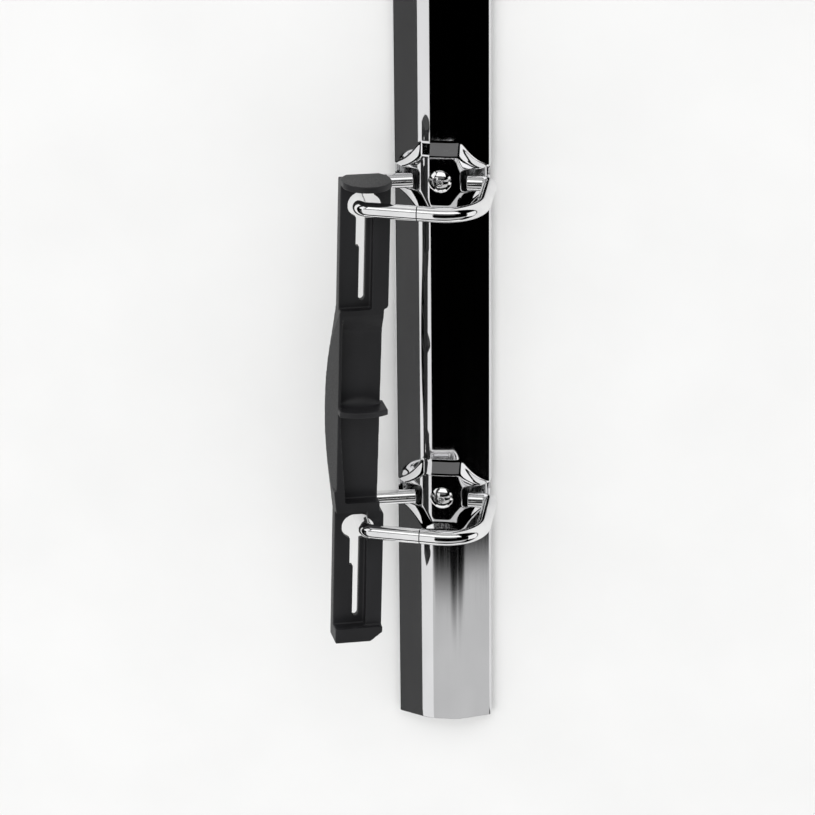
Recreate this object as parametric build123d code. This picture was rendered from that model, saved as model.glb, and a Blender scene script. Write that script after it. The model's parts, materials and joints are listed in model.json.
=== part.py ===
from build123d import *
from math import cos, radians, sin, tan
import os

# Two-ring binder mechanism with a compressor bar. Millimetres.
# X is across the mechanism, Y along it and Z out of the binder's spine. The base plane is Z = 0 and
# the origin is midway between the rings.

# Driving dimensions
ring_pitch = 80.0  # the standard distance between the two punched holes of a page
cover_length = 200.0
cover_width = 22.9
cover_height = 5.8
sheet = 0.7
wire_d = 3.5
ring_top = 30.4  # centre line of the wire at the top of a ring
ring_y = ring_pitch / 2

# Cover: an arched channel with lips turned in under the outer edges of the two carrier leaves
flank_angle = 25.0
shoulder_r = 8.4
shoulder_x = 3.66  # where the crown and the flank would meet without the shoulder's arc
skirt_r = 1.0
lip_x = 9.6
half_width = cover_width / 2

# Saddle: the raised bridge at each ring, which stiffens the cover round the rivet
saddle_rise = 1.4
saddle_half = 9.1  # half its length along Y, at the crown
saddle_crown_x = 4.2
saddle_tip_x = 10.5
saddle_tip_y = 3.1
ramp_run = 3.0

# Notches that the ring wires come out of
notch_half = 2.5
notch_x = 5.0
notch_floor = 1.7
notch_r = 0.8

# Carrier leaves: two strips that rock on their outer edges and carry the ring halves
pivot_x = 9.9
pivot_z = 1.3
leaf_t = 0.84
leaf_gap = 0.15
leaf_sag = 2.5  # degrees below level when the rings are shut
leaf_length = cover_length - 4.0
leaf_notch_r = 4.6

# Rivets, with a spacer and a washer each
head_d = 5.6
head_rise = 1.25
shank_d = 3.6
bore_d = 2.4
bore_depth = 4.6
dimple_r = 1.25
dimple_depth = 0.7
collar_d = 4.8
collar_t = 0.3
washer_d = 8.0
washer_t = 0.6
spacer_d = 5.6
fit_gap = 0.05

# Rings: straight post on the right, slanted leg on the left
root_x = 8.2
root_z = 7.4
root_stem_d = 3.3
post_x = 11.8
root_bend = 1.77
post_corner = 8.7
top_bend = 20.0
top_peak_x = 2.0
top_slope = 0.115
leg_tilt = 15.5
leg_x = -16.27  # where the leg's centre line is at leg_z
leg_z = 25.5
left_root_z = 6.9
left_root_rise = 14.0
leg_low_bend = 4.5
leg_top_bend = 3.0
joint_x = -1.1
joint_gap = 0.12
lap = 1.3  # length of the half-lap where the two tips meet
tenon_d = 2.2
tenon_gap = 0.02
stake_d = 2.6
stake_t = 0.35
seat_gap = 0.12  # between a ring half's shoulder and the leaf that carries it

# Compressor bar, drawn in its own frame: x across, y along, z off its front face
bar_tilt = 20.0
bar_lean = 1.9
bar_shift = -1.0
bar_top = 46.4
bar_bottom = -68.6
bar_left = -4.75
bar_right = 6.65
bar_mid_right = 5.65
corner_r = bar_right - bar_mid_right
floor_t = 1.8
side_depth = 3.2
rim_x = 2.7
rim_rise = 1.8
wall = 1.2

# Holes and slots of the bar: oval, because the bar leans a little across the two legs
hole_left = -3.0
hole_right = 4.5
hole_r = 3.1
hole_end_r = 3.09
slot_wide = 2.25
slot_narrow = 1.4
slot_right = 1.3
slot_step = 10.0
slot_end = 22.4
slot_head = 6.0  # how far a slotted length of the bar runs past its hole
slot_foot = 26.0

# Middle of the bar: a sloping front, a shallow belly, a left side that swells out, and ribs inside
mid_top = 15.0
mid_bottom = -35.6
belly_top = 10.3
belly_y = -12.0
belly_bottom = -31.0
belly_apex = 8.2  # depth at which the belly's two slopes would meet without its arc
belly_depth = 6.4
belly_r = 60.0
belly_top_r = 30.0
belly_bottom_r = 24.0
swell = 1.6
dish_y = 8.5
dish_z = -1.3  # how deep the front's slope has gone where it ends in a step
dish_dive = 0.15  # how steeply the slope starts, and how gently it goes on
dish_slope = 0.03
dish_left = -4.1
dish_taper = 1.5
taper_y = -14.0
rib_t = 1.0
rib_step = 8.0
rib_count = 6

# Finger tabs and foot of the bar
head_tab_t = 1.5
head_tab_rise = 7.0
head_tab_bow = 4.6
mid_tab_y = -9.1
mid_tab_t = 1.4
mid_tab_rise = 5.4
mid_tab_bow = 1.6
foot_t = 3.6
foot_rise = 3.2
foot_cut = 3.4
foot_cut_run = 6.0
foot_cut_angle = 38.0

far = 60.0  # larger than any piece across, for cutting blocks
past = 1.0  # how far a cutting shape runs past what it cuts


def block(x0, x1, y0, y1, z0, z1):
    return Pos((x0 + x1) / 2, (y0 + y1) / 2, (z0 + z1) / 2) * Box(x1 - x0, y1 - y0, z1 - z0)


def prism(points, radii, length):
    """A closed outline in XZ, rounded at its corners, drawn out along Y about Y = 0."""
    path = FilletPolyline(*[(x, 0, z) for x, z in points], radius=radii, close=True)
    face = make_face(path)
    return extrude(face, amount=length / 2, dir=(0, 1, 0), both=True)


def arch(offset, lift, length, low):
    """The cover's arch as a solid, set in by an offset from its outer surface and lifted."""
    slope = tan(radians(flank_angle))
    crown_z = cover_height - offset + lift
    drop = offset / cos(radians(flank_angle)) - offset
    x_side = half_width - offset
    x_top = shoulder_x - drop / slope
    z_side = crown_z - (x_side - x_top) * slope
    points = [(-x_side, low), (-x_side, z_side), (-x_top, crown_z), (x_top, crown_z)]
    points += [(x_side, z_side), (x_side, low)]
    radii = [0, skirt_r - offset, shoulder_r - offset, shoulder_r - offset, skirt_r - offset, 0]
    return prism(points, radii, length)


def above_plane(a, b, c):
    """A large block on the upper side of the plane through three points, to cut with."""
    a, b, c = Vector(*a), Vector(*b), Vector(*c)
    normal = (b - a).cross(c - a).normalized()
    if normal.Z < 0:
        normal = normal * -1
    return Plane(origin=a, x_dir=b - a, z_dir=normal) * Pos(0, 0, far / 2) * Box(far, far, far)


def saddle(offset, lift):
    """The raised bridge: a higher arch cut back by ramps that draw in towards the cover's edges."""
    slope = tan(radians(flank_angle))
    crown_z = cover_height - offset
    tip_z = crown_z - (saddle_tip_x - shoulder_x) * slope
    run_x = saddle_tip_x - saddle_crown_x
    run_y = saddle_half - saddle_tip_y
    reach = (run_x**2 + run_y**2) ** 0.5
    inward = (-run_y / reach * ramp_run, -run_x / reach * ramp_run)
    rise = -inward[0] * slope + lift
    solid = arch(offset, lift, 2 * saddle_half, notch_floor)
    for sy in (-1, 1):
        y0 = sy * saddle_half
        solid -= above_plane((0, y0, crown_z), (1, y0, crown_z), (0, y0 - sy * ramp_run, crown_z + lift))
        for sx in (-1, 1):
            start = (sx * saddle_crown_x, y0, crown_z)
            tip = (sx * saddle_tip_x, sy * saddle_tip_y, tip_z)
            up = (start[0] + sx * inward[0], start[1] + sy * inward[1], start[2] + rise)
            solid -= above_plane(start, tip, up)
    return solid


def make_cover():
    body = arch(0, 0, cover_length, 0)
    hollow = arch(sheet, 0, cover_length + 2 * past, sheet)
    opening = Box(2 * lip_x, cover_length + 2 * past, 3 * sheet)
    pocket_y = 2 * (saddle_half - ramp_run - sheet)
    pocket = arch(sheet, saddle_rise, pocket_y, notch_floor) & Box(2 * notch_x + past, far, far)
    notch_reach = half_width + 2 * past
    notch = RectangleRounded(2 * (notch_reach - notch_x), 2 * notch_half, notch_r)
    for y in (-ring_y, ring_y):
        body += Pos(0, y, 0) * saddle(0, saddle_rise)
    body -= hollow
    body -= opening
    for y in (-ring_y, ring_y):
        body -= Pos(0, y, 0) * pocket
        body -= Pos(0, y, 0) * Cylinder(shank_d / 2 + fit_gap, far)
        for side in (-1, 1):
            body -= Pos(side * notch_reach, y, notch_floor) * extrude(notch, cover_height + 2 * past)
    return body


def make_leaf(side):
    """One leaf, level, with its pivot edge at the origin; then turned down to its shut angle."""
    width = pivot_x - leaf_gap
    strip = Pos(-side * width / 2, 0, 0) * Box(width, leaf_length, leaf_t)
    strip += Rot(90, 0, 0) * Cylinder(leaf_t / 2, leaf_length)
    for y in (-ring_y, ring_y):
        strip -= Pos(-side * pivot_x, y, 0) * Cylinder(leaf_notch_r, 4 * leaf_t)
        strip -= Pos(-side * (pivot_x - root_x), y, 0) * Cylinder(tenon_d / 2, 4 * leaf_t)
    strip = Rot(0, -side * leaf_sag, 0) * strip
    return Pos(side * pivot_x, 0, pivot_z) * strip


def leaf_point(side, x_in):
    """The leaf's middle plane at a distance in from its pivot edge."""
    angle = radians(leaf_sag)
    return (side * (pivot_x - x_in * cos(angle)), pivot_z - x_in * sin(angle))


def wire(points, radii, y):
    path = FilletPolyline(*[(x, y, z) for x, z in points], radius=radii)
    section = Plane(origin=path @ 0, z_dir=path % 0) * Circle(wire_d / 2)
    return sweep(section, path=path)


def root(side, y, wire_z):
    """The foot of a ring half: a stem down from the wire and a tenon staked over below the leaf."""
    x, z = leaf_point(side, pivot_x - root_x)
    pin = Pos(0, 0, leaf_t / 2) * Cylinder(tenon_d / 2 - tenon_gap, 2 * leaf_t)
    head = Pos(0, 0, -(leaf_t + stake_t) / 2) * Cylinder(stake_d / 2, stake_t)
    low = z + leaf_t / 2 + seat_gap
    stem = Pos(side * root_x, y, (low + wire_z) / 2) * Cylinder(root_stem_d / 2, wire_z - low)
    return stem + Pos(x, y, z) * Rot(0, -side * leaf_sag, 0) * (pin + head)


def top_z(x):
    return ring_top - top_slope * max(0.0, top_peak_x - x)


def make_right_ring(y):
    tip_x = joint_x + joint_gap / 2
    end_x = tip_x - 2 * lap
    points = [(root_x - wire_d / 2, root_z), (post_x, root_z), (post_x, ring_top)]
    points += [(top_peak_x, ring_top), (end_x, top_z(end_x))]
    ring = wire(points, [root_bend, post_corner, top_bend], y)
    lap_z = top_z(tip_x)
    ring -= block(tip_x - 3 * wire_d, tip_x - lap, y - wire_d, y + wire_d, lap_z - wire_d, lap_z + wire_d)
    ring -= block(tip_x - 3 * wire_d, tip_x, y - wire_d, y + wire_d, lap_z - wire_d, lap_z)
    return ring + root(1, y, root_z)


def make_left_ring(y):
    tip_x = joint_x - joint_gap / 2
    lean, rise = tan(radians(leg_tilt)), tan(radians(left_root_rise))
    # lower corner: the root's rising run meets the slanted leg
    low_z = (left_root_z + (-root_x - leg_x + lean * leg_z) * rise) / (1 + lean * rise)
    low_x = leg_x - (leg_z - low_z) * lean
    # upper corner: the slanted leg meets the top run
    high_x = (leg_x + (ring_top - top_slope * top_peak_x - leg_z) * lean) / (1 - top_slope * lean)
    high_z = top_z(high_x)
    end_x = -root_x + wire_d / 2
    points = [(end_x, left_root_z - (end_x + root_x) * rise), (low_x, low_z), (high_x, high_z)]
    points += [(tip_x + lap, top_z(tip_x + lap))]
    ring = wire(points, [leg_low_bend, leg_top_bend], y)
    lap_z = top_z(tip_x) - joint_gap
    back_x = tip_x - lap - joint_gap
    ring -= block(tip_x, tip_x + 3 * wire_d, y - wire_d, y + wire_d, lap_z - wire_d, lap_z + wire_d)
    ring -= block(back_x, tip_x + 3 * wire_d, y - wire_d, y + wire_d, lap_z, lap_z + wire_d)
    return ring + root(-1, y, left_root_z)


def make_rivet(y):
    seat = cover_height + saddle_rise
    cap_r = ((head_d / 2) ** 2 + head_rise**2) / (2 * head_rise)
    dome = Pos(0, 0, seat + head_rise - cap_r) * Sphere(cap_r)
    head = dome & Pos(0, 0, seat + head_rise) * Cylinder(head_d / 2, 2 * head_rise)
    head -= Pos(0, 0, seat + head_rise + dimple_r - dimple_depth) * Sphere(dimple_r)
    shank = Pos(0, 0, seat / 2) * Cylinder(shank_d / 2, seat)
    collar = Pos(0, 0, collar_t / 2) * Cylinder(collar_d / 2, collar_t)
    bore = Pos(0, 0, bore_depth / 2) * Cylinder(bore_d / 2, bore_depth)
    return Pos(0, y, 0) * (head + shank + collar - bore)


def ring_of(outer_d, low, high, y):
    height = high - low
    tube = Cylinder(outer_d / 2, height) - Cylinder(shank_d / 2 + fit_gap, height)
    return Pos(0, y, low + height / 2) * tube


def slot_section(y):
    """One half of the bar that a ring passes through, with the hole at y."""
    low, high = y - slot_foot, y + slot_head
    body = block(bar_left, bar_right, low, high, -floor_t, 0)
    body += block(bar_left, bar_left + wall, low, high, -side_depth, 0)
    body += block(rim_x, bar_right, low, high, -side_depth, rim_rise)
    body -= block(rim_x + wall, bar_right - wall, low + wall, high - wall, -side_depth, rim_rise - wall)
    body -= block(slot_right - slot_wide, slot_right, y - slot_step, y, -far, far)
    body -= block(slot_right - slot_narrow, slot_right, y - slot_end, y, -far, far)
    body -= Pos(slot_right - slot_narrow / 2, y - slot_end, 0) * Cylinder(slot_narrow / 2, far)
    hole = RectangleRounded(hole_right - hole_left, 2 * hole_r, hole_end_r)
    return body - Pos((hole_left + hole_right) / 2, y, 0) * extrude(hole, far / 2, both=True)


def across(edges, x0, x1):
    """A closed outline in YZ, drawn out across the bar from x0 to x1."""
    return extrude(Plane.YZ.offset(x0) * make_face(edges), x1 - x0)


def middle_section():
    """The middle: a front that slopes down to a step, a curved belly, a swollen side and ribs."""
    slopes = [(belly_top, -side_depth), (belly_y, -belly_apex), (belly_bottom, -side_depth)]
    back = [(mid_top, -side_depth), *slopes, (mid_bottom, -side_depth)]
    belly = FilletPolyline(*back, radius=[belly_top_r, belly_r, belly_bottom_r])
    front = [(mid_bottom, -side_depth), (mid_bottom, rim_rise), (mid_top, rim_rise), (mid_top, -side_depth)]
    body = across([belly, Polyline(*front)], bar_left - swell, bar_mid_right)
    bow = ThreePointArc((bar_left, mid_top), (bar_left - swell, belly_y), (bar_left, mid_bottom))
    ends = Polyline((bar_left, mid_bottom), (far, mid_bottom), (far, mid_top), (bar_left, mid_top))
    body &= extrude(make_face([bow, ends]), far, both=True)
    edge = (bar_left, 0, rim_rise)
    body -= above_plane(edge, (bar_left, 1, rim_rise), (bar_left - swell, 0, -belly_depth))

    dish_top, dish_end = mid_top - wall, mid_bottom + 2 * wall
    above = 2 * rim_rise
    fall = Spline((dish_top, rim_rise), (dish_y, 0), tangents=[(-1, -dish_dive), (-1, -dish_slope)])
    rest = [(dish_y, 0), (dish_end, dish_z), (dish_end, above), (dish_top, above), (dish_top, rim_rise)]
    taper = [(dish_left, mid_top), (dish_left, taper_y), (dish_left + dish_taper, dish_end)]
    plan = make_face(Polyline(*taper, (far, dish_end), (far, mid_top), close=True))
    body -= across([fall, Polyline(*rest)], bar_left, far) & extrude(plan, far, both=True)

    sides = (bar_left + wall, bar_mid_right - wall)
    core = block(*sides, mid_bottom + wall, mid_top - wall, -belly_apex, dish_z - wall)
    for i in range(rib_count):
        y = mid_top - (i + 1) * rib_step
        core -= block(*sides, y - rib_t / 2, y + rib_t / 2, -far, far)
    return body - core


def tab(y0, y1, low, rise, bow):
    """A finger tab that stands up across the bar, with a bowed front edge."""
    half = (bar_right - bar_left) / 2
    middle = (bar_left + bar_right) / 2
    radius = (half**2 + bow**2) / (2 * bow)
    round_edge = Pos(middle, (y0 + y1) / 2, rise - radius) * Rot(90, 0, 0) * Cylinder(radius, y1 - y0)
    return block(bar_left, bar_right, y0, y1, low, rise) & round_edge


def make_bar():
    body = slot_section(ring_y) + slot_section(-ring_y) + middle_section()
    body -= block(bar_mid_right, far, mid_bottom, mid_top, -far, far)
    for y, way in ((mid_top, 1), (mid_bottom, -1)):
        corner = block(bar_right - corner_r, bar_right, *sorted((y, y + way * corner_r)), -far, far)
        body -= corner - Pos(bar_right - corner_r, y + way * corner_r, 0) * Cylinder(corner_r, 3 * far)
    body += tab(bar_top - head_tab_t, bar_top, -side_depth, head_tab_rise, head_tab_bow)
    body += tab(mid_tab_y - mid_tab_t, mid_tab_y, dish_z - wall, mid_tab_rise, mid_tab_bow)
    foot = block(bar_left, bar_right, bar_bottom, bar_bottom + foot_t, -side_depth, foot_rise)
    cut = Rot(0, 0, foot_cut_angle) * Box(foot_cut_run, foot_cut, far)
    body += foot - Pos(bar_right, bar_bottom, 0) * cut
    place = Pos(leg_x, 0, leg_z) * Rot(0, bar_tilt, 0) * Rot(0, 0, -bar_lean) * Pos(bar_shift, 0, 0)
    return place * body


os.makedirs("parts", exist_ok=True)
parts = {
    "cover_plate": make_cover(),
    "leaf_left": make_leaf(-1),
    "leaf_right": make_leaf(1),
    "compressor_bar": make_bar(),
}
for name, y in (("upper", ring_y), ("lower", -ring_y)):
    under_saddle = cover_height + saddle_rise - sheet - 2 * fit_gap
    parts["ring_right_" + name] = make_right_ring(y)
    parts["ring_left_" + name] = make_left_ring(y)
    parts["rivet_" + name] = make_rivet(y)
    parts["washer_" + name] = ring_of(washer_d, collar_t, collar_t + washer_t, y)
    parts["spacer_" + name] = ring_of(spacer_d, collar_t + washer_t, under_saddle, y)

for name, solid in parts.items():
    export_step(solid, f"parts/{name}.step")
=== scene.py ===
import json
from math import acos, ceil, cos, hypot, pi, radians, sin, sqrt, tan

import bmesh
import bpy
from mathutils import Matrix, Vector


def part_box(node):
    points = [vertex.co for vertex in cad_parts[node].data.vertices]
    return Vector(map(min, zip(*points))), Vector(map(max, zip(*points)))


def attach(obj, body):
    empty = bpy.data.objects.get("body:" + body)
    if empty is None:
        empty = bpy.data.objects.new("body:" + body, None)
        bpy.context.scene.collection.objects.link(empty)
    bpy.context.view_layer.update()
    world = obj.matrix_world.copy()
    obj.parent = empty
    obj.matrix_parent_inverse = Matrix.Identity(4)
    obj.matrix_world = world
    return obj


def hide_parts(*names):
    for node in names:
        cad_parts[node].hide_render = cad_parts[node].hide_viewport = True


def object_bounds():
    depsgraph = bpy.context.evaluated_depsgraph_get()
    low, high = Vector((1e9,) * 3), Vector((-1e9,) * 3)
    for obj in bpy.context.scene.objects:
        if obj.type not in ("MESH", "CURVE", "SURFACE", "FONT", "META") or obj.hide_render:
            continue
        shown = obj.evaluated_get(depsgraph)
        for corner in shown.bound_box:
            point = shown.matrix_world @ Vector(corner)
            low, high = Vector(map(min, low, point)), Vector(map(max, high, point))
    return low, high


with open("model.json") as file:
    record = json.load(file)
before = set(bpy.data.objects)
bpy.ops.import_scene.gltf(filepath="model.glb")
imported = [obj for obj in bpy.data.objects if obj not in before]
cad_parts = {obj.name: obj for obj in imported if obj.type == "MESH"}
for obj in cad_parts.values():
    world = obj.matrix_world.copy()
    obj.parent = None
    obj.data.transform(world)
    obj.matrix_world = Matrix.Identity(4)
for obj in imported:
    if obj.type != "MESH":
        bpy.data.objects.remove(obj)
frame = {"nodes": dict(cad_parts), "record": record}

cad_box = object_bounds()
MM = 0.001


def box_mm(node):
    """A node's lowest and highest corners, in millimetres."""
    low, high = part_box(node)
    return [v / MM for v in low], [v / MM for v in high]


# ---------------------------------------------------------------- dimensions, in millimetres

_, cover_high = box_mm("cover_plate")
rivet_low, rivet_high = box_mm("rivet_upper")
RING_Y = (rivet_low[1] + rivet_high[1]) / 2
HALF_LENGTH = cover_high[1]
HALF_WIDTH = cover_high[0]
SADDLE_RISE = 1.4
CROWN_Z = cover_high[2] - SADDLE_RISE
SHEET = 0.7

# Cover's section, from the crown outwards
FLANK = radians(25)
SHOULDER_R = 8.4
SHOULDER_X = 3.66
SKIRT_R = 1.0
FOLD_R = 0.9
LIP_X = 9.6

# Saddles at the rings, and the notches in them
SADDLE_HALF = 9.1
RAMP_RUN = 3.0
FLARE_RUN = 1.7
FLARE_RUN_LOW = 3.2
FLARE_NARROWS = 0.7
RAMP_BLEND = 0.15
FLARE_X = 4.6
FLARE_WIDTH = 6.3
FLARE_POWER = 1.7
FLARE_END = 0.999
FLARE_TIP = 3.1
FADE_RUN = 2.2
FADE_END = 0.2
CREASE = 0.13
NOTCH_X = 5.0
NOTCH_HALF = 2.5
NOTCH_R = 0.8
NOTCH_FLOOR = 1.7
RIVET_HOLE_R = 1.85
RIM_ROUND = 0.32

# Cover's grid: the two fixed columns beside a notch's inner end, the columns between, and spacings
NEAR_X, BEYOND_X = 4.0, 7.0
NEAR_COLUMNS, BEYOND_COLUMNS = 8, 10
CROWN_STEP, FLANK_STEP, FOLD_STEP, LIP_STEP = 0.25, 0.3, 0.14, 0.35
SKIRT_STEP, NOTCH_FOOT_STEP = 0.12, 0.1
NOTCH_STEP, CORNER_STEP, SADDLE_STEP, FAR_STEP, RIM_STEP = 0.17, 0.08, 0.15, 2.0, 0.07
SADDLE_MARGIN = 1.0

# Ring halves
WIRE_R = 1.75
WIRE_CHAMFER = 0.18
RING_TOP = 30.4
ROOT_X = 8.2
ROOT_Z = 7.4
POST_X = 11.8
RIGHT_BENDS = [1.77, 8.7, 20.0]
TOP_PEAK_X = 2.0
TOP_SLOPE = 0.115
LEG_TILT = radians(15.5)
LEG_X, LEG_Z = -16.27, 25.5
LEFT_ROOT_Z = 6.9
LEFT_ROOT_RISE = radians(14)
LEFT_BENDS = [4.5, 3.0]
JOINT_X = -1.1
JOINT_GAP = 0.12
CUT_EDGE = 0.1  # rounding of the edges that the joint leaves
LAP = 1.3
CUT_REACH = 9.0  # how far the cutting blocks run along the wire
CUT_DEPTH = 4.0
CUT_HALF = 3.0
PIVOT_X, PIVOT_Z = 9.9, 1.3
LEAF_T = 0.84
LEAF_SAG = radians(2.5)
STEM_R = 1.65
STEM_CHAMFER = 0.15
TENON_R = 1.08
TENON_TOP = 1.5 * LEAF_T
STAKE_R = 1.3
STAKE_T = 0.35
STAKE_CHAMFER = 0.2

# Compressor bar's own frame
BAR_TILT = radians(20)
BAR_LEAN = radians(1.9)
BAR_SHIFT = -1.0
BAR_LEFT, BAR_RIGHT = -4.75, 6.65

# ---------------------------------------------------------------- materials


def map_range(tree, value, start, end, low, high):
    """A node that maps a value so that start gives low and end gives high."""
    mapped = tree.nodes.new("ShaderNodeMapRange")
    for key, number in (("From Min", start), ("From Max", end), ("To Min", low), ("To Max", high)):
        mapped.inputs[key].default_value = number
    tree.links.new(value, mapped.inputs["Value"])
    return mapped


class Shader:
    """A Principled material under construction, with short calls for its nodes."""

    def __init__(self, name, colour, metallic=0.0, roughness=0.5):
        self.material = bpy.data.materials.new(name)
        self.material.use_nodes = True
        self.tree = self.material.node_tree
        self.bsdf = self.tree.nodes["Principled BSDF"]
        self.bsdf.inputs["Base Color"].default_value = (*colour, 1)
        self.bsdf.inputs["Metallic"].default_value = metallic
        self.bsdf.inputs["Roughness"].default_value = roughness
        self.place = self.node("ShaderNodeTexCoord").outputs["Object"]

    def node(self, kind, **settings):
        made = self.tree.nodes.new(kind)
        for key, value in settings.items():
            if key in made.inputs:
                made.inputs[key].default_value = value
            else:
                setattr(made, key, value)
        return made

    def link(self, a, b):
        self.tree.links.new(a, b)

    def noise(self, size_mm, stretch=(1, 1, 1), detail=3.0):
        """Noise whose grains are about size_mm, drawn out along the axes by stretch."""
        mapping = self.node("ShaderNodeMapping")
        mapping.inputs["Scale"].default_value = tuple(1 / (size_mm * MM * s) for s in stretch)
        self.link(self.place, mapping.inputs["Vector"])
        noise = self.node("ShaderNodeTexNoise", Scale=1.0, Detail=detail)
        self.link(mapping.outputs["Vector"], noise.inputs["Vector"])
        return noise.outputs["Fac"]

    def spread(self, value, low, high, start=0.3, end=0.7):
        """Spreads the middle of a 0-1 value, from start to end, over low to high."""
        return map_range(self.tree, value, start, end, low, high).outputs["Result"]

    def ramp(self, value, *stops):
        ramp = self.node("ShaderNodeValToRGB")
        elements = ramp.color_ramp.elements
        while len(elements) < len(stops):
            elements.new(0.5)
        for element, (at, colour) in zip(elements, stops):
            element.position = at
            element.color = (*colour, 1)
        self.link(value, ramp.inputs["Fac"])
        return ramp.outputs["Color"]

    def bump(self, *layers):
        """Bump layers of (height, strength, distance in mm), one on top of the other."""
        normal = None
        for height, strength, distance in layers:
            bump = self.node("ShaderNodeBump", Strength=strength, Distance=distance * MM)
            self.link(height, bump.inputs["Height"])
            if normal:
                self.link(normal, bump.inputs["Normal"])
            normal = bump.outputs["Normal"]
        self.link(normal, self.bsdf.inputs["Normal"])

    def colour(self, output):
        self.link(output, self.bsdf.inputs["Base Color"])

    def roughness(self, output):
        self.link(output, self.bsdf.inputs["Roughness"])


def chromed_plate():
    s = Shader("chromed_plate", (0.78, 0.78, 0.8), 1.0, 0.08)
    lines = s.noise(0.5, (0.7, 60, 0.7), 4)
    clouds = s.noise(14, (1, 2.5, 1), 3)
    s.colour(s.ramp(clouds, (0.3, (0.74, 0.74, 0.75)), (0.7, (0.84, 0.84, 0.85))))
    s.roughness(s.spread(lines, 0.03, 0.06))
    s.bump((lines, 0.012, 0.01), (clouds, 0.03, 0.04))
    return s.material


def chromed_wire():
    s = Shader("chromed_wire", (0.82, 0.82, 0.83), 1.0, 0.07)
    scuffs = s.noise(0.9, (1, 1, 1), 5)
    clouds = s.noise(6, (1, 1, 1), 2)
    s.colour(s.ramp(clouds, (0.3, (0.78, 0.78, 0.79)), (0.7, (0.88, 0.88, 0.88))))
    s.roughness(s.spread(scuffs, 0.04, 0.13, 0.4, 0.75))
    s.bump((scuffs, 0.03, 0.01))
    return s.material


def rivet_plate():
    s = Shader("rivet_plate", (0.85, 0.85, 0.85), 1.0, 0.07)
    marks = s.noise(0.5, (1, 1, 1), 4)
    s.colour(s.ramp(marks, (0.3, (0.82, 0.82, 0.82)), (0.7, (0.92, 0.92, 0.92))))
    s.roughness(s.spread(marks, 0.05, 0.14))
    s.bump((marks, 0.05, 0.015))
    return s.material


def bright_steel():
    s = Shader("bright_steel", (0.5, 0.5, 0.51), 1.0, 0.28)
    spangle = s.noise(2.4, (1, 1.6, 1), 4)
    lines = s.noise(0.35, (0.8, 40, 0.8), 3)
    s.colour(s.ramp(spangle, (0.3, (0.40, 0.41, 0.42)), (0.7, (0.55, 0.55, 0.56))))
    s.roughness(s.spread(lines, 0.20, 0.34))
    s.bump((lines, 0.12, 0.02))
    return s.material


def black_moulding():
    s = Shader("black_moulding", (0.014, 0.014, 0.015), 0.0, 0.5)
    s.bsdf.inputs["Specular IOR Level"].default_value = 0.4
    grain = s.noise(0.22, (1, 1, 1), 3)
    flow = s.noise(9, (1, 3, 1), 3)
    s.colour(s.ramp(flow, (0.3, (0.009, 0.009, 0.010)), (0.7, (0.016, 0.016, 0.018))))
    s.roughness(s.spread(grain, 0.40, 0.60))
    s.bump((grain, 0.35, 0.04), (flow, 0.1, 0.1))
    return s.material


def floor_paper():
    s = Shader("floor_paper", (0.8, 0.8, 0.8), 0.0, 0.85)
    mottle = s.noise(35, (1, 1, 1), 4)
    s.colour(s.ramp(mottle, (0.3, (0.79, 0.79, 0.785)), (0.7, (0.82, 0.82, 0.815))))
    return s.material


materials = {
    "chromed_plate": chromed_plate(),
    "chromed_wire": chromed_wire(),
    "rivet_plate": rivet_plate(),
    "bright_steel": bright_steel(),
    "black_moulding": black_moulding(),
}


def finish_node(name, slot):
    """Gives a CAD node its material."""
    mesh = frame["nodes"][name].data
    mesh.materials.clear()
    mesh.materials.append(materials[slot])


for entry in frame["record"]["subparts"]:
    finish_node(entry["node"], entry["material_slot"])

# ---------------------------------------------------------------- mesh helpers

WELD = 0.0006  # in millimetres
TINY = 1e-6


def mesh_object(name, points, faces):
    """A linked object from points in millimetres."""
    mesh = bpy.data.meshes.new(name)
    mesh.from_pydata([tuple(v * MM for v in p) for p in points], [], faces)
    obj = bpy.data.objects.new(name, mesh)
    bpy.context.scene.collection.objects.link(obj)
    return obj


def modify(obj, kind, **settings):
    """Adds a modifier."""
    made = obj.modifiers.new(kind.lower(), kind)
    for key, value in settings.items():
        setattr(made, key, value)
    return made


def bake(obj):
    """Makes the modifiers' result the object's own mesh."""
    bpy.context.view_layer.update()
    graph = bpy.context.evaluated_depsgraph_get()
    mesh = bpy.data.meshes.new_from_object(obj.evaluated_get(graph))
    obj.modifiers.clear()
    obj.data = mesh


def combine(obj, other, how):
    """Adds another closed mesh to this one or cuts it away, and removes the other."""
    modify(obj, "BOOLEAN", operation=how, object=other, solver="EXACT")
    bake(obj)
    bpy.data.objects.remove(other)


def weld(obj):
    """Joins points that a boolean left on top of each other."""
    mesh = bmesh.new()
    mesh.from_mesh(obj.data)
    bmesh.ops.remove_doubles(mesh, verts=mesh.verts, dist=WELD * MM)
    bmesh.ops.dissolve_degenerate(mesh, edges=mesh.edges, dist=WELD * MM)
    mesh.to_mesh(obj.data)
    mesh.free()


def smooth_by_angle(obj, degrees):
    """Smooth shading, with the edges sharper than an angle left crisp."""
    mesh = bmesh.new()
    mesh.from_mesh(obj.data)
    limit = radians(degrees)
    for face in mesh.faces:
        face.smooth = True
    for edge in mesh.edges:
        edge.smooth = not edge.is_manifold or edge.calc_face_angle(0) < limit
    mesh.to_mesh(obj.data)
    mesh.free()


def dress(obj, slot, body, *nodes):
    """Gives a piece its material, its body and the CAD nodes that it stands for."""
    obj.data.materials.clear()
    obj.data.materials.append(materials[slot])
    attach(obj, body)
    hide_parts(*nodes)


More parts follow.
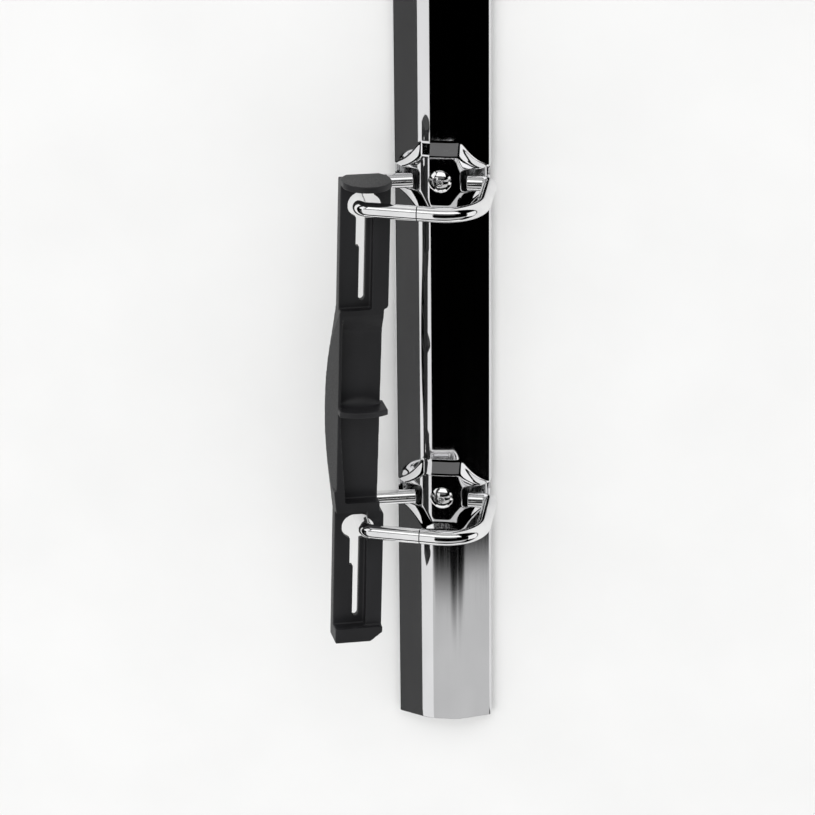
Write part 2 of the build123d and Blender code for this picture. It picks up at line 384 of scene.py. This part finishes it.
def block(name, x0, x1, y0, y1, z0, z1):
    """A box between these planes."""
    points = [(x, y, z) for x in (x0, x1) for y in (y0, y1) for z in (z0, z1)]
    faces = [(0, 1, 3, 2), (4, 6, 7, 5), (0, 4, 5, 1), (2, 3, 7, 6), (0, 2, 6, 4), (1, 5, 7, 3)]
    return mesh_object(name, points, faces)


def lathe(name, profile, segments=72):
    """A closed solid turned about Z from (radius, height) points that start and end on the axis."""
    points, rows = [], []
    for radius, height in profile:
        if radius < TINY:
            rows.append([len(points)] * segments)
            points.append((0, 0, height))
            continue
        rows.append([len(points) + i for i in range(segments)])
        turn = [2 * pi * i / segments for i in range(segments)]
        points += [(radius * cos(a), radius * sin(a), height) for a in turn]
    faces = []
    for low, high in zip(rows, rows[1:]):
        for i in range(segments):
            j = (i + 1) % segments
            corners = [low[i], low[j], high[j], high[i]]
            face = [c for k, c in enumerate(corners) if c != corners[k - 1]]
            if len(face) > 2:
                faces.append(face)
    return mesh_object(name, points, faces)


def arc_points(cx, cz, radius, start, end, count):
    """Points along an arc, from one angle to another in radians, both ends included."""
    turn = [start + (end - start) * i / count for i in range(count + 1)]
    return [(cx + radius * cos(a), cz + radius * sin(a)) for a in turn]


# ---------------------------------------------------------------- cover plate


def section_runs():
    """The outer surface from the crown's middle to the lip, as (length, turn) runs and arcs."""
    shoulder_t = SHOULDER_R * tan(FLANK / 2)
    skirt_turn = pi / 2 - FLANK
    skirt_t = SKIRT_R * tan(skirt_turn / 2)
    corner_z = CROWN_Z - (HALF_WIDTH - SHOULDER_X) * tan(FLANK)
    flank = (HALF_WIDTH - SHOULDER_X) / cos(FLANK) - shoulder_t - skirt_t
    return [
        (SHOULDER_X - shoulder_t, 0),
        (SHOULDER_R * FLANK, FLANK),
        (flank, 0),
        (SKIRT_R * skirt_turn, skirt_turn),
        (corner_z - skirt_t - FOLD_R, 0),
        (FOLD_R * pi / 2, pi / 2),
        (HALF_WIDTH - FOLD_R - LIP_X, 0),
    ]


RUNS = section_runs()
RUNS_TO_FOLD = 5
BISECTIONS = 40


def section(distance):
    """(x, z) of the outer surface at a distance round from the crown's middle."""
    x, z, heading = 0.0, CROWN_Z, 0.0
    for length, turn in RUNS:
        part = min(distance, length)
        if turn:
            radius, angle = length / turn, turn * part / length
            x += radius * (sin(heading + angle) - sin(heading))
            z += radius * (cos(heading + angle) - cos(heading))
            heading += angle
        else:
            x += part * cos(heading)
            z -= part * sin(heading)
        distance -= part
        if distance <= 0:
            break
    return x, z


def distance_where(test):
    """The first distance round the section at which a test of (x, z) holds."""
    low, high = 0.0, sum(length for length, _ in RUNS[:RUNS_TO_FOLD])
    for _ in range(BISECTIONS):
        middle = (low + high) / 2
        low, high = (low, middle) if test(*section(middle)) else (middle, high)
    return high


def notch_edge_x(offset):
    """Where the notch begins across the cover, at an offset along Y from the ring."""
    into = max(0.0, min(abs(offset), NOTCH_HALF) - (NOTCH_HALF - NOTCH_R))
    return NOTCH_X + NOTCH_R - sqrt(NOTCH_R**2 - into**2)


def crease(t):
    """Zero below zero and t above it, with the corner rounded."""
    if abs(t) >= CREASE:
        return max(0.0, t)
    return (t + CREASE) ** 2 / (4 * CREASE)


def soft_min(a, b, blend):
    """The smaller of two numbers, rounded off where they come within blend of each other."""
    h = max(blend - abs(a - b), 0.0) / blend
    return min(a, b) - h * h * blend / 4


def lift(x, offset):
    """How far the saddle raises the cover at (x, offset from the ring)."""
    run = FLARE_RUN if offset > 0 else FLARE_RUN_LOW
    x, offset = abs(x), abs(offset)
    t = min((x - FLARE_X) / FLARE_WIDTH, FLARE_END)
    flare = FLARE_TIP + (SADDLE_HALF - FLARE_TIP) * (1 - t) ** FLARE_POWER
    slope = (SADDLE_HALF - FLARE_TIP) * FLARE_POWER * (1 - t) ** (FLARE_POWER - 1) / FLARE_WIDTH
    across = (flare - offset) / hypot(1, slope) / (run * (1 - FLARE_NARROWS * max(0.0, t)))
    along = (SADDLE_HALF - offset) / RAMP_RUN
    ramp = soft_min(across, along, RAMP_BLEND)
    fade = min(1.0, max(0.0, (HALF_WIDTH - FADE_END - x) / FADE_RUN))
    return SADDLE_RISE * (crease(ramp) - crease(ramp - 1)) * fade * fade * (3 - 2 * fade)


def rim_drop(x, y):
    """How far the outer surface has rolled in where it comes near a notch or the cover's end."""
    across = NOTCH_X + NOTCH_R - abs(x)
    along = abs(abs(y) - RING_Y) - (NOTCH_HALF - NOTCH_R)
    gap = hypot(max(across, 0.0), max(along, 0.0)) + min(max(across, along), 0.0) - NOTCH_R
    gap = min(max(gap, 0.0), HALF_LENGTH - abs(y))
    if gap >= RIM_ROUND:
        return 0.0
    return RIM_ROUND - sqrt(RIM_ROUND**2 - (RIM_ROUND - gap) ** 2)


def steps(start, end, size):
    """Evenly spaced numbers from start up to end, without the end."""
    count = max(1, ceil((end - start) / size - TINY))
    return [start + (end - start) * i / count for i in range(count)]


def cover_rows():
    """Y of each row: close together over the saddles and far apart between them."""
    corner, reach = NOTCH_HALF - NOTCH_R, SADDLE_HALF + SADDLE_MARGIN
    near = steps(0, corner, NOTCH_STEP) + steps(corner, NOTCH_HALF, CORNER_STEP)
    near += steps(NOTCH_HALF, reach, SADDLE_STEP)
    inner, end = RING_Y - reach, HALF_LENGTH - RIM_ROUND
    half = steps(0, inner, FAR_STEP) + [inner] + [RING_Y + way * v for v in near for way in (-1, 1)]
    half += steps(RING_Y + reach, end, FAR_STEP) + steps(end, HALF_LENGTH, RIM_STEP) + [HALF_LENGTH]
    half = sorted({round(v, 5) for v in half})
    return [-v for v in reversed(half[1:])] + half


def thicken(cover):
    """Gives the sheet its inner surface and rims, and rolls the outer surface in at the rims."""
    shape = bmesh.new()
    shape.from_mesh(cover.data)
    shape.normal_update()
    outer = list(shape.verts)
    rims = [edge for edge in shape.edges if edge.is_boundary]
    faces = list(shape.faces)
    inner = {}
    for v in outer:
        inner[v] = shape.verts.new(v.co - v.normal * v.calc_shell_factor() * SHEET * MM)
    for face in faces:
        shape.faces.new([inner[v] for v in reversed(face.verts)])
    for edge in rims:
        a, b = edge.verts
        loop = edge.link_loops[0]
        if loop.vert is a:
            a, b = b, a
        shape.faces.new((a, b, inner[b], inner[a]))
    for v in outer:
        x, y = v.co.x / MM, v.co.y / MM
        v.co -= v.normal * rim_drop(x, y) * MM
    shape.to_mesh(cover.data)
    shape.free()


def ring_offset(y):
    """How far a Y is from the nearer ring, positive towards +Y."""
    return y - RING_Y if y > 0 else y + RING_Y


def make_cover():
    """The arched sheet on a grid that follows its bends, notches and rivet holes."""
    near_side = distance_where(lambda x, z: x > NEAR_X)
    beyond = distance_where(lambda x, z: x > BEYOND_X)
    notch_low = distance_where(lambda x, z: z < NOTCH_FLOOR)
    ends = [sum(length for length, _ in RUNS[: i + 1]) for i in range(len(RUNS))]
    flank_end, skirt_end, wall_end, fold_end, lip_end = ends[2:]
    before = steps(0, near_side, CROWN_STEP)
    after = steps(beyond, flank_end, FLANK_STEP) + steps(flank_end, notch_low, SKIRT_STEP)
    lower = steps(notch_low, skirt_end, NOTCH_FOOT_STEP) + steps(skirt_end, wall_end, FLANK_STEP)
    lower += steps(wall_end, fold_end, FOLD_STEP) + steps(fold_end, lip_end, LIP_STEP) + [lip_end]
    first = len(before) + NEAR_COLUMNS  # the column along the notch's inner end
    last = first + BEYOND_COLUMNS + len(after)  # the column along the notch's outer end

    def columns(offset):
        edge_x = notch_edge_x(offset)
        edge = distance_where(lambda x, z: x > edge_x)
        inner = [near_side + (edge - near_side) * i / NEAR_COLUMNS for i in range(NEAR_COLUMNS)]
        outer = [edge + (beyond - edge) * i / BEYOND_COLUMNS for i in range(BEYOND_COLUMNS)]
        return before + inner + outer + after + lower

    rows, points, width, cache = cover_rows(), [], 0, {}
    for y in rows:
        offset = round(ring_offset(y), 5)
        key = min(abs(offset), NOTCH_HALF)
        if key not in cache:
            cache[key] = [section(s) for s in columns(key)]
        half = cache[key]
        width = 2 * len(half) - 1
        line = [(-x, z) for x, z in reversed(half[1:])] + half
        points += [(x, y, z + lift(x, offset)) for x, z in line]
    middle = (width - 1) // 2

    faces, dropped = [], set()
    for i in range(len(rows) - 1):
        o = ring_offset((rows[i] + rows[i + 1]) / 2)
        for j in range(width - 1):
            column = min(abs(j - middle), abs(j + 1 - middle))
            low, high = i * width + j, (i + 1) * width + j
            corners = (low, low + 1, high + 1, high)
            x = (points[corners[0]][0] + points[corners[2]][0]) / 2
            in_notch = abs(o) < NOTCH_HALF and first <= column < last
            in_hole = hypot(x, o) < RIVET_HOLE_R
            if in_notch or in_hole:
                dropped.update(corners if in_hole else ())
            else:
                faces.append(corners)
    kept = {k for face in faces for k in face}
    for k in dropped & kept:
        x, y, z = points[k]
        o = ring_offset(y)
        scale = RIVET_HOLE_R / hypot(x, o)
        points[k] = (x * scale, y + o * (scale - 1), z)
    order = {k: n for n, k in enumerate(sorted(kept))}
    points = [points[k] for k in sorted(kept)]
    faces = [[order[k] for k in face] for face in faces]

    cover = mesh_object("cover_shell", points, faces)
    thicken(cover)
    smooth_by_angle(cover, 50)
    modify(cover, "WEIGHTED_NORMAL", keep_sharp=True, weight=60)
    dress(cover, "chromed_plate", "base", "cover_plate")


# ---------------------------------------------------------------- rings


def rounded_path(points, radii, step=radians(3)):
    """A route in XZ whose corners are arcs, as a list of (x, z, direction x, direction z)."""
    points = [Vector(p) for p in points]
    path = [(*points[0], *(points[1] - points[0]).normalized())]
    for before, corner, after, radius in zip(points, points[1:], points[2:], radii):
        way_in, way_out = (corner - before).normalized(), (after - corner).normalized()
        turn = acos(max(-1, min(1, way_in.dot(way_out))))
        side = 1 if way_in.x * way_out.y - way_in.y * way_out.x > 0 else -1
        start = corner - way_in * radius * tan(turn / 2)
        centre = start + Vector((-way_in.y, way_in.x)) * radius * side
        count = max(2, ceil(turn / step))
        for i in range(count + 1):
            angle = side * turn * i / count
            spin = Matrix.Rotation(angle, 2)
            path.append((*(centre + spin @ (start - centre)), *(spin @ way_in)))
    path.append((*points[-1], *(points[-1] - points[-2]).normalized()))
    return path


def tube(name, path, y, segments=56):
    """A solid wire along a route, with rounded edges at its two flat ends."""

    def rounded_end(place, way):
        x, z, dx, dz = place
        rings = []
        for a in map(radians, (0, 30, 60, 90)):
            along = WIRE_CHAMFER * (1 - cos(a)) * way
            inset = WIRE_CHAMFER * (1 - sin(a))
            rings.append((x + dx * along, z + dz * along, dx, dz, WIRE_R - inset))
        return rings

    middle = [(*place, WIRE_R) for place in path[1:-1]]
    rings = rounded_end(path[0], 1) + middle + rounded_end(path[-1], -1)[::-1]
    points, faces = [], []
    for x, z, dx, dz, r in rings:
        for i in range(segments):
            a = 2 * pi * i / segments
            points.append((x - dz * r * cos(a), y + r * sin(a), z + dx * r * cos(a)))
    for n in range(len(rings) - 1):
        for i in range(segments):
            j = (i + 1) % segments
            low, high = n * segments, (n + 1) * segments
            faces.append((low + i, high + i, high + j, low + j))
    faces.append(tuple(range(segments)))
    faces.append(tuple(reversed(range(len(points) - segments, len(points)))))
    return mesh_object(name, points, faces)


def leaf_point(side):
    """The leaf's middle plane under a ring's root."""
    reach = PIVOT_X - ROOT_X
    return side * (PIVOT_X - reach * cos(LEAF_SAG)), PIVOT_Z - reach * sin(LEAF_SAG)


def add_root(ring, side, y, wire_z):
    """The stem down from the wire, and the tenon staked over below the leaf."""
    x, z = leaf_point(side)
    low = z + LEAF_T / 2 + JOINT_GAP
    foot = [(0, low), (STEM_R - STEM_CHAMFER, low), (STEM_R, low + STEM_CHAMFER)]
    stem = lathe("stem", foot + [(STEM_R, wire_z), (0, wire_z)])
    stem.data.transform(Matrix.Translation(Vector((side * ROOT_X, y, 0)) * MM))
    combine(ring, stem, "UNION")
    under = -LEAF_T / 2 - STAKE_T
    head = [(0, under), (STAKE_R - STAKE_CHAMFER, under), (STAKE_R, under + STAKE_CHAMFER)]
    head += [(STAKE_R, -LEAF_T / 2), (TENON_R, -LEAF_T / 2)]
    pin = lathe("pin", head + [(TENON_R, TENON_TOP), (0, TENON_TOP)])
    place = Matrix.Translation(Vector((x, y, z)) * MM) @ Matrix.Rotation(-side * LEAF_SAG, 4, "Y")
    pin.data.transform(place)
    combine(ring, pin, "UNION")


def top_z(x):
    """Height of the wire's centre line over a ring's top run."""
    return RING_TOP - TOP_SLOPE * max(0.0, TOP_PEAK_X - x)


def cut_away(ring, x0, x1, y, z0, z1):
    """Cuts a wire away between two X and two Z."""
    combine(ring, block("cut", x0, x1, y - CUT_HALF, y + CUT_HALF, z0, z1), "DIFFERENCE")


def finish_ring(ring, body, node):
    """Rounds a ring half's edges, and gives it its material, body and node."""
    weld(ring)
    sharp = radians(55)
    modify(ring, "BEVEL", width=CUT_EDGE * MM, segments=2, limit_method="ANGLE", angle_limit=sharp)
    bake(ring)
    smooth_by_angle(ring, 40)
    modify(ring, "WEIGHTED_NORMAL", keep_sharp=True, weight=60)
    dress(ring, "chromed_wire", body, node)


def make_right_ring(place, y):
    """The half with the straight post. Its tip laps over the left half's."""
    tip = JOINT_X + JOINT_GAP / 2
    end = tip - 2 * LAP
    points = [(ROOT_X - WIRE_R, ROOT_Z), (POST_X, ROOT_Z), (POST_X, RING_TOP)]
    points += [(TOP_PEAK_X, RING_TOP), (end, top_z(end))]
    ring = tube("ring_wire_right_" + place, rounded_path(points, RIGHT_BENDS), y)
    seam = top_z(tip)
    cut_away(ring, tip - CUT_REACH, tip - LAP, y, seam - CUT_DEPTH, seam + CUT_DEPTH)
    cut_away(ring, tip - CUT_REACH, tip, y, seam - CUT_DEPTH, seam)
    add_root(ring, 1, y, ROOT_Z)
    finish_ring(ring, "right_rings", "ring_right_" + place)


def make_left_ring(place, y):
    """The half with the leaning leg. Its tip lies under the right half's."""
    tip = JOINT_X - JOINT_GAP / 2
    lean, rise = tan(LEG_TILT), tan(LEFT_ROOT_RISE)
    low_z = (LEFT_ROOT_Z + (-ROOT_X - LEG_X + lean * LEG_Z) * rise) / (1 + lean * rise)
    low_x = LEG_X - (LEG_Z - low_z) * lean
    high_x = (LEG_X + (RING_TOP - TOP_SLOPE * TOP_PEAK_X - LEG_Z) * lean) / (1 - TOP_SLOPE * lean)
    start = -ROOT_X + WIRE_R
    points = [(start, LEFT_ROOT_Z - (start + ROOT_X) * rise), (low_x, low_z)]
    points += [(high_x, top_z(high_x)), (tip + LAP, top_z(tip + LAP))]
    ring = tube("ring_wire_left_" + place, rounded_path(points, LEFT_BENDS), y)
    seam = top_z(tip) - JOINT_GAP
    back = tip - LAP - JOINT_GAP
    cut_away(ring, tip, tip + CUT_REACH, y, seam - CUT_DEPTH, seam + CUT_DEPTH)
    cut_away(ring, back, tip + CUT_REACH, y, seam, seam + CUT_DEPTH)
    add_root(ring, -1, y, LEFT_ROOT_Z)
    finish_ring(ring, "left_rings", "ring_left_" + place)


# ---------------------------------------------------------------- rivets

HEAD_R, HEAD_RISE = 2.8, 1.25
ROLL_R, HOLE_R, HOLE_DEPTH = 0.45, 0.45, 2.1
SHANK_R, BORE_R, BORE_DEPTH = 1.8, 1.2, 4.6
COLLAR_R, COLLAR_T = 2.4, 0.3
COLLAR_EDGE, BORE_EDGE, HEAD_EDGE = 0.1, 0.15, 0.05
ROLL_BLEND = 0.25
HEAD_STEPS, RIVET_SEGMENTS = 40, 96


def make_rivet(place, y):
    """One tubular rivet, with a rolled lip round the hole in its head."""
    seat = CROWN_Z + SADDLE_RISE
    cap_r = (HEAD_R**2 + HEAD_RISE**2) / (2 * HEAD_RISE)

    def head_z(r):
        dome = HEAD_RISE - cap_r + sqrt(cap_r**2 - r * r)
        inward = HOLE_R + ROLL_R - r
        roll = HEAD_RISE - HEAD_EDGE - ROLL_R + sqrt(max(0.0, ROLL_R**2 - inward**2))
        return seat + (soft_min(dome, roll, ROLL_BLEND) if inward > 0 else dome)

    profile = [(0, BORE_DEPTH), (BORE_R, BORE_DEPTH), (BORE_R, BORE_EDGE), (BORE_R + BORE_EDGE, 0)]
    profile += [(COLLAR_R - COLLAR_EDGE, 0), (COLLAR_R, COLLAR_EDGE), (COLLAR_R, COLLAR_T)]
    profile += [(SHANK_R, COLLAR_T), (SHANK_R, seat), (HEAD_R - HEAD_EDGE, seat)]
    radii = [HEAD_R - (HEAD_R - HOLE_R) * i / HEAD_STEPS for i in range(1, HEAD_STEPS + 1)]
    floor_z = seat + HEAD_RISE - HOLE_DEPTH
    profile += [(r, head_z(r)) for r in radii] + [(HOLE_R, floor_z), (0, floor_z)]
    rivet = lathe("rivet_turned_" + place, profile, RIVET_SEGMENTS)
    rivet.data.transform(Matrix.Translation((0, y * MM, 0)))
    smooth_by_angle(rivet, 35)
    dress(rivet, "rivet_plate", "base", "rivet_" + place)


# ---------------------------------------------------------------- compressor bar

FILLET_Y, FILLET_Z = -9.1, -0.55
FILLET_LEFT, FILLET_RIGHT = BAR_LEFT + 0.5, BAR_RIGHT - 1.2
FILLET_END_R, FILLET_MORE_R = 0.4, 2.1
FILLET_SINK = 0.3
VOXEL = 0.2
BAR_WELD = 1e-7  # in metres


def root_fillet():
    """A soft fillet where the middle finger tab rises, fuller in the middle than at its ends."""
    points, faces = [], []
    across, arc = 24, 8
    sunk_y, sunk_z = FILLET_Y - FILLET_SINK, FILLET_Z - FILLET_SINK
    for i in range(across + 1):
        share = 2 * i / across - 1
        radius = FILLET_END_R + FILLET_MORE_R * (1 - share * share)
        x = FILLET_LEFT + (FILLET_RIGHT - FILLET_LEFT) * i / across
        centre_y, centre_z = FILLET_Y + radius, FILLET_Z + radius
        bend = arc_points(centre_y, centre_z, radius, pi, 1.5 * pi, arc)
        outline = bend + [(centre_y, sunk_z), (sunk_y, sunk_z), (sunk_y, centre_z)]
        points += [(x, y, z) for y, z in outline]
    count = len(outline)
    for i in range(across):
        for j in range(count):
            k = (j + 1) % count
            faces.append((i * count + j, (i + 1) * count + j, (i + 1) * count + k, i * count + k))
    faces.append(tuple(range(count)))
    faces.append(tuple(reversed(range(across * count, (across + 1) * count))))
    return mesh_object("fillet", points, faces)


def make_bar():
    """The CAD bar with a fillet at its middle tab and all its edges softened."""
    place = Matrix.Translation(Vector((LEG_X, 0, LEG_Z)) * MM) @ Matrix.Rotation(BAR_TILT, 4, "Y")
    place = place @ Matrix.Rotation(-BAR_LEAN, 4, "Z") @ Matrix.Translation((BAR_SHIFT * MM, 0, 0))
    shape = frame["nodes"]["compressor_bar"].data.copy()
    shape.transform(place.inverted())
    fillet = root_fillet()
    merged = bmesh.new()
    merged.from_mesh(shape)
    merged.from_mesh(fillet.data)
    bmesh.ops.remove_doubles(merged, verts=merged.verts, dist=BAR_WELD)
    merged.to_mesh(shape)
    merged.free()
    bpy.data.objects.remove(fillet)
    bar = bpy.data.objects.new("bar_moulding", shape)
    bpy.context.scene.collection.objects.link(bar)
    modify(bar, "REMESH", mode="VOXEL", voxel_size=VOXEL * MM)
    modify(bar, "SMOOTH", factor=0.5, iterations=5)
    modify(bar, "DECIMATE", decimate_type="DISSOLVE", angle_limit=radians(1.0))
    bake(bar)
    bar.data.transform(place)
    smooth_by_angle(bar, 50)
    modify(bar, "WEIGHTED_NORMAL", keep_sharp=True, weight=50)
    dress(bar, "black_moulding", "bar", "compressor_bar")


make_cover()
for place, y in (("upper", RING_Y), ("lower", -RING_Y)):
    make_right_ring(place, y)
    make_left_ring(place, y)
    make_rivet(place, y)
make_bar()

# ---------------------------------------------------------------- floor, light and camera (metres)

FLOOR_HALF = 3
FLOOR_DROP = 0.0001
CEILING = 1.5

floor_mesh = bpy.data.meshes.new("floor")
square = [(x * FLOOR_HALF, y * FLOOR_HALF, 0) for x, y in ((-1, -1), (1, -1), (1, 1), (-1, 1))]
floor_mesh.from_pydata(square, [], [(0, 1, 2, 3)])
floor = bpy.data.objects.new("floor", floor_mesh)
bpy.context.scene.collection.objects.link(floor)
floor.location.z = cad_box[0][2] - FLOOR_DROP
floor_mesh.materials.append(floor_paper())


def softbox(name, location, aim, size, radiance):
    """A rectangular studio light of an even brightness."""
    data = bpy.data.lights.new(name, "AREA")
    data.shape = "RECTANGLE"
    data.size, data.size_y = size
    data.energy = radiance * pi * size[0] * size[1]
    light = bpy.data.objects.new(name, data)
    light.location = location
    light.rotation_euler = (Vector(aim) - Vector(location)).to_track_quat("-Z", "Y").to_euler()
    bpy.context.scene.collection.objects.link(light)
    return light


def soften_edge(light, share):
    """Fades a light out over a share of its height, at its upper edge."""
    light.data.use_nodes = True
    tree = light.data.node_tree
    place = tree.nodes.new("ShaderNodeNewGeometry")
    split = tree.nodes.new("ShaderNodeSeparateXYZ")
    fade = map_range(tree, split.outputs["Y"], 1 - share, 1, 1, 0)
    fade.interpolation_type = "SMOOTHSTEP"
    tree.links.new(place.outputs["Parametric"], split.inputs["Vector"])
    tree.links.new(fade.outputs["Result"], tree.nodes["Emission"].inputs["Strength"])


def ceiling_box(name, x_span, y_span, radiance):
    """A flat light overhead, which spans these slopes of x and y over height from the floor."""
    middle = [sum(span) / 2 * CEILING for span in (x_span, y_span)]
    size = [(span[1] - span[0]) * CEILING for span in (x_span, y_span)]
    return softbox(name, (*middle, CEILING), (*middle, 0), size, radiance)


def slanted_box(name, start, end, depth, radiance, fade):
    """A light overhead whose upper edge runs from one (x, y) slope to another and fades out."""
    start, end = Vector(start) * CEILING, Vector(end) * CEILING
    way = (end - start).normalized()
    middle = (start + end) / 2 + Vector((way.y, -way.x)) * depth * CEILING / 2
    size = ((end - start).length, depth * CEILING)
    light = softbox(name, (*middle, CEILING), (*middle, 0), size, radiance)
    light.rotation_euler.z += way.angle_signed(Vector((1, 0)))
    soften_edge(light, fade / depth)


ceiling_box("left", (-1.45, -0.28), (-1.4, 0.5), 0.9)
ceiling_box("left_dim", (-2.8, -1.5), (-1.6, -0.1), 0.07)
slanted_box("low_end", (-0.28, -0.484), (0.33, -0.517), 0.9, 0.6, 0.035)
slanted_box("low_end_right", (0.33, -0.517), (1.7, -0.807), 0.9, 0.6, 0.035)
ceiling_box("above", (-0.28, 0.6), (0.3, 0.7), 0.15)
ceiling_box("top_end", (-0.7, 1.0), (0.7, 2.0), 1.3)
softbox("right", (1.6, -0.2, 0.5), (0, -0.2, 0.5), (1.6, 0.8), 1.0)
softbox("low_front", (-0.1, -1.8, 0.26), (-0.1, 0, 0.26), (1.8, 0.46), 1.1)
softbox("upper_left", (-1.5, 1.1, 0.9), (0, 0, 0), (1.3, 0.9), 1.0)
softbox("high_front", (-0.2, 1.8, 0.4), (-0.2, 0, 0.3), (1.6, 0.7), 0.5)

world = bpy.data.worlds.new("studio")
world.use_nodes = True
world.node_tree.nodes["Background"].inputs["Color"].default_value = (1, 1, 1, 1)
world.node_tree.nodes["Background"].inputs["Strength"].default_value = 0.75
world.cycles_visibility.glossy = False
bpy.context.scene.world = world
bpy.context.scene.view_settings.view_transform = "Standard"

# The camera stands a little to +X and well to +Y of straight above, and looks down on the plate.
azimuth, elevation, roll = radians(7.46), radians(22.19), radians(-0.55)
camera_distance = 884 * MM
aim = Vector((-8.98, -19.8, 0)) * MM
toward = Vector((sin(azimuth) * cos(elevation), sin(elevation), cos(azimuth) * cos(elevation)))
up = Vector((-sin(azimuth) * sin(elevation), cos(elevation), -cos(azimuth) * sin(elevation)))
right = up.cross(toward)
right, up = right * cos(roll) + up * sin(roll), up * cos(roll) - right * sin(roll)
camera_data = bpy.data.cameras.new("camera")
camera_data.lens = 162.7
camera = bpy.data.objects.new("camera", camera_data)
camera.matrix_world = Matrix.Translation(aim + toward * camera_distance) @ Matrix(
    (right, up, toward)
).transposed().to_4x4()
bpy.context.scene.collection.objects.link(camera)
bpy.context.scene.camera = camera
